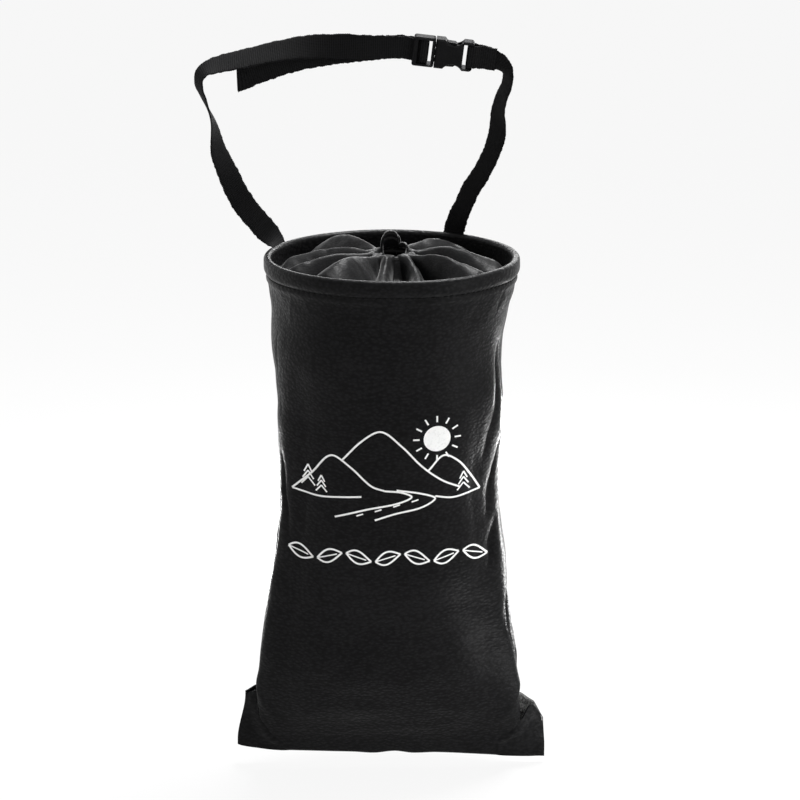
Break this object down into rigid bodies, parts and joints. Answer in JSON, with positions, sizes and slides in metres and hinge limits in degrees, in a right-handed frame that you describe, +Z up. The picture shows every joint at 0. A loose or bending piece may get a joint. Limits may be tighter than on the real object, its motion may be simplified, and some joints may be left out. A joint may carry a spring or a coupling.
{
  "type": "car trash bin",
  "caption": "Hanging car litter bag in black imitation leather: round stiff mouth with a gathered elastic closure, flat sewn bottom and an adjustable webbing strap with a release buckle.",
  "frame": {"origin": "hang point: the middle of the strap's top run, straight above the centre of the mouth", "axes": "+Z up, -Y towards the printed front face, +X to the right seen from the front"},
  "size_m": [0.2156, 0.155, 0.4578],
  "materials": {
    "bag_leather": "fine pebbled imitation leather, soft sheen",
    "collar_leather": "thin soft imitation leather, soft sheen",
    "hoop_plastic": "plain springy strip",
    "elastic": "braided elastic cord",
    "webbing": "ribbed polypropylene webbing",
    "buckle_plastic": "moulded black plastic, satin"
  },
  "bodies": {
    "bag": {"bag_body": "bag_leather", "rim_hoop": "hoop_plastic", "closure_collar": "collar_leather", "elastic_cord": "elastic", "strap_long": "webbing", "strap_short": "webbing", "buckle_female": "buckle_plastic"},
    "release_half": {"buckle_male": "buckle_plastic"}
  },
  "joints": [
    {"name": "buckle_release", "type": "slide", "parent": "bag", "child": "release_half", "axis": [-0.9936, 0, 0.1132], "range_m": [0, 0.02], "deforming": ["strap_long", "buckle_male"]}
  ]
}
